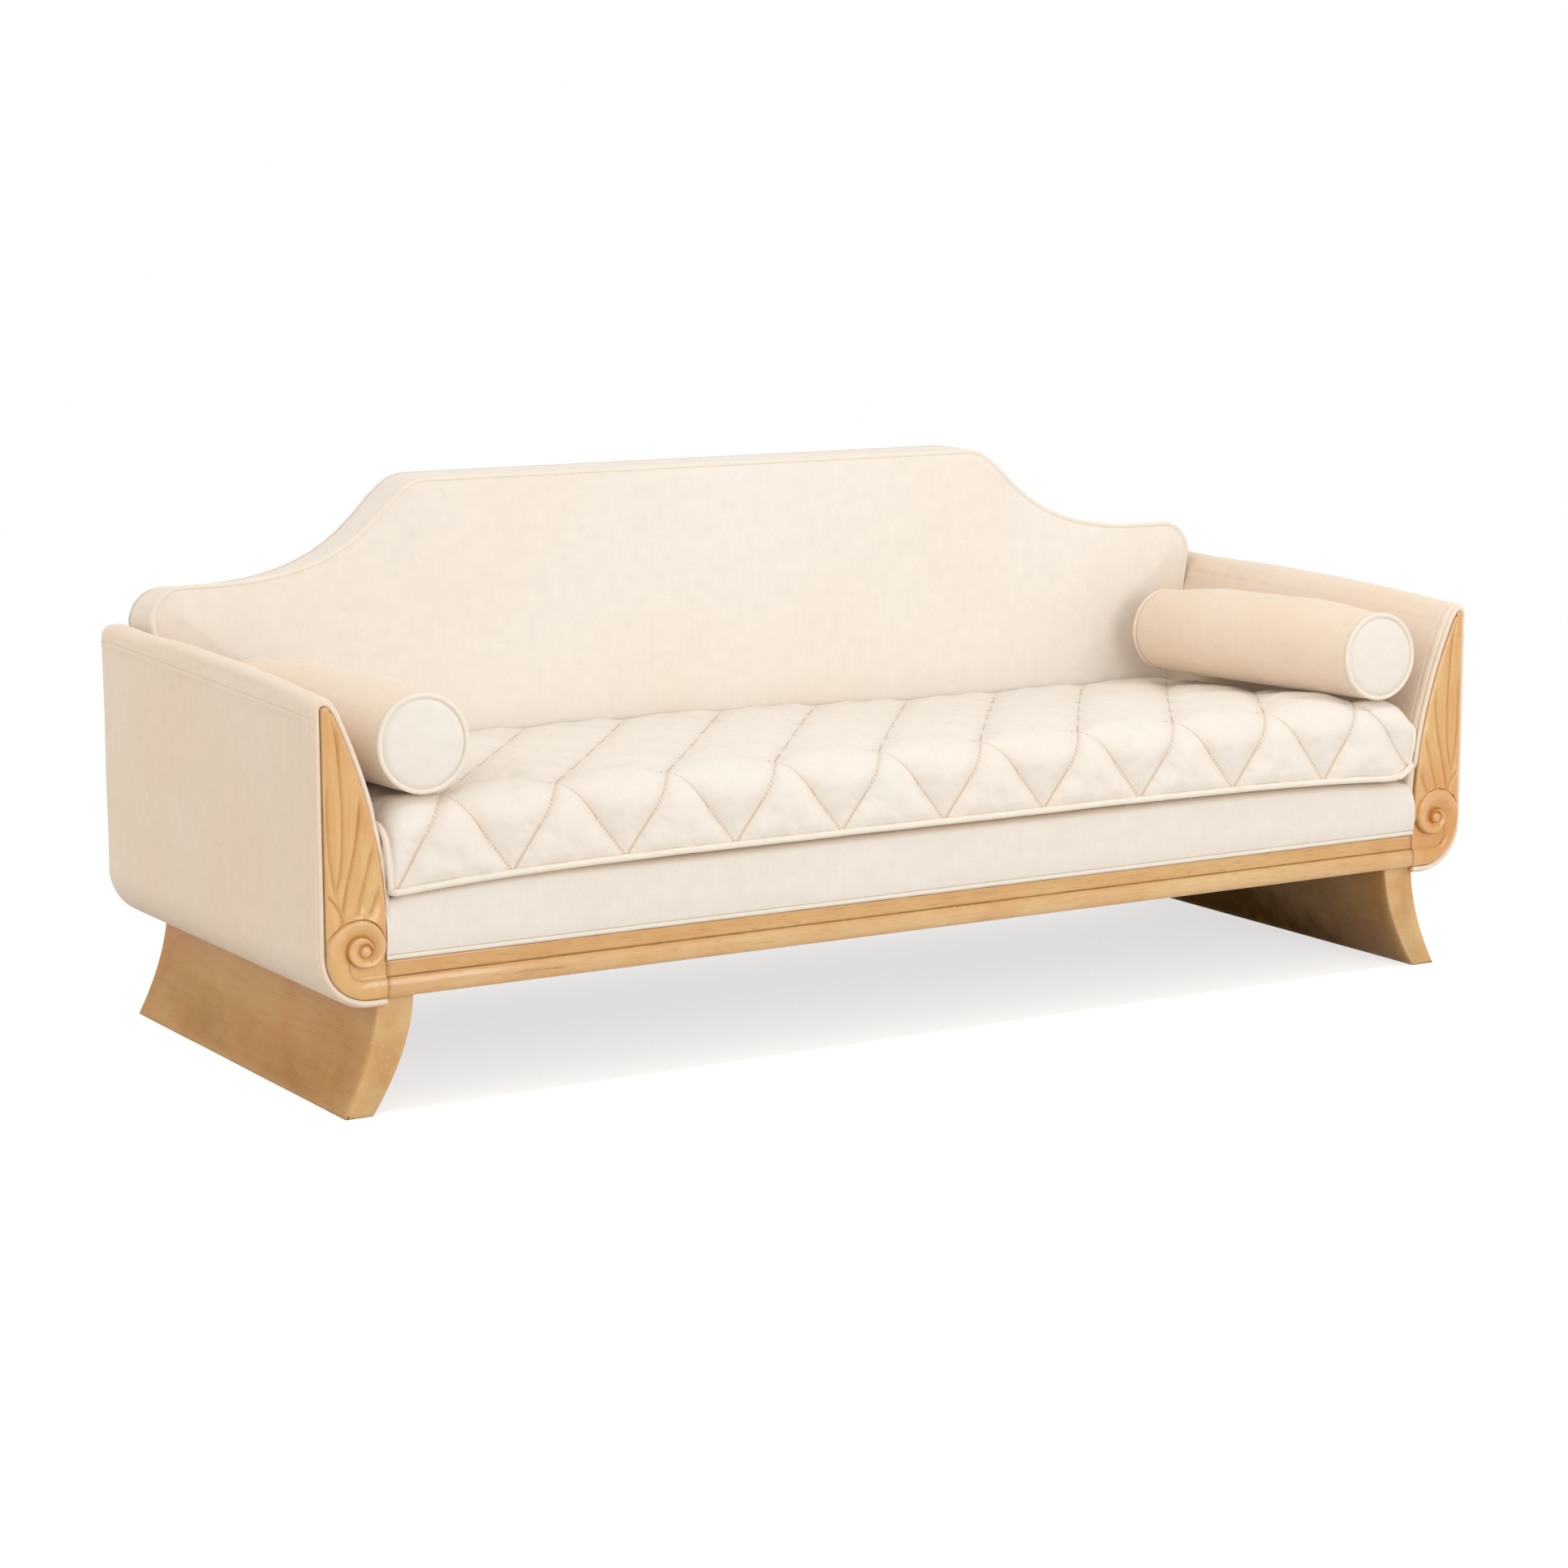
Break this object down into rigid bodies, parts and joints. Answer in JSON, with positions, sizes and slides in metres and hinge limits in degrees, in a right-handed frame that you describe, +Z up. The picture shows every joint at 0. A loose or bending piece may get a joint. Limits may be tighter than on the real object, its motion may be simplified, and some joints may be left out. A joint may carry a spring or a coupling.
{
  "type": "upholstered sofa",
  "caption": "Upholstered sofa with a serpentine back, flared arms faced with carved wood scrolls, curved plank legs, a loose quilted bench cushion and loose bolsters.",
  "frame": {"origin": "on the floor, under the middle of the sofa", "axes": "+X along the sofa's length to its right end as seen from the front, +Y from its front to its back, +Z up"},
  "size_m": [2.1444, 0.8498, 0.866],
  "materials": {
    "velvet": "cream cotton velvet",
    "welt": "cream velvet over cord",
    "show_wood": "bleached blond hardwood, waxed",
    "frame_wood": "plain sawn hardwood",
    "steel": "bare spring steel",
    "webbing": "jute webbing",
    "lining": "black cambric"
  },
  "bodies": {
    "frame": {"arm_cover_left": "velvet", "arm_cover_right": "velvet", "arm_facing_left": "show_wood", "arm_facing_right": "show_wood", "arm_front_board_left": "frame_wood", "arm_front_board_right": "frame_wood", "arm_rear_board_left": "frame_wood", "arm_rear_board_right": "frame_wood", "arm_rear_panel_left": "velvet", "arm_rear_panel_right": "velvet", "arm_top_rail_left": "frame_wood", "arm_top_rail_right": "frame_wood", "arm_welt_left": "welt", "arm_welt_right": "welt", "back_cover": "velvet", "back_middle_post_left": "frame_wood", "back_middle_post_right": "frame_wood", "back_post_left": "frame_wood", "back_post_right": "frame_wood", "back_top_rail": "frame_wood", "back_webbing": "webbing", "back_welt": "welt", "corner_block_front_left": "frame_wood", "corner_block_front_right": "frame_wood", "corner_block_rear_left": "frame_wood", "corner_block_rear_right": "frame_wood", "deck_welt": "welt", "dust_cover": "lining", "end_rail_left": "frame_wood", "end_rail_right": "frame_wood", "front_rail": "show_wood", "outside_back": "velvet", "rear_rail": "frame_wood", "seat_brace_left": "frame_wood", "seat_brace_right": "frame_wood", "seat_deck": "velvet", "seat_spring_1": "steel", "seat_spring_2": "steel", "seat_spring_3": "steel", "seat_spring_4": "steel", "seat_spring_5": "steel", "seat_spring_6": "steel", "trestle_bolt_front_left": "steel", "trestle_bolt_front_right": "steel", "trestle_bolt_rear_left": "steel", "trestle_bolt_rear_right": "steel", "trestle_left": "show_wood", "trestle_right": "show_wood"},
    "bench_cushion": {"seat_cushion": "velvet", "cushion_bottom_welt": "welt", "cushion_end_welt_left": "welt", "cushion_end_welt_right": "welt"},
    "left_bolster": {"bolster_left": "velvet", "bolster_welt_front_left": "welt", "bolster_welt_rear_left": "welt"},
    "right_bolster": {"bolster_right": "velvet", "bolster_welt_front_right": "welt", "bolster_welt_rear_right": "welt"}
  },
  "joints": [
    {"name": "cushion_lift", "type": "slide", "parent": "frame", "child": "bench_cushion", "axis": [0, -0.3419, 0.9397], "range_m": [0, 0.3]},
    {"name": "left_bolster_lift", "type": "slide", "parent": "bench_cushion", "child": "left_bolster", "axis": [0, 0, 1], "range_m": [0, 0.2]},
    {"name": "right_bolster_lift", "type": "slide", "parent": "bench_cushion", "child": "right_bolster", "axis": [0, 0, 1], "range_m": [0, 0.2]}
  ]
}
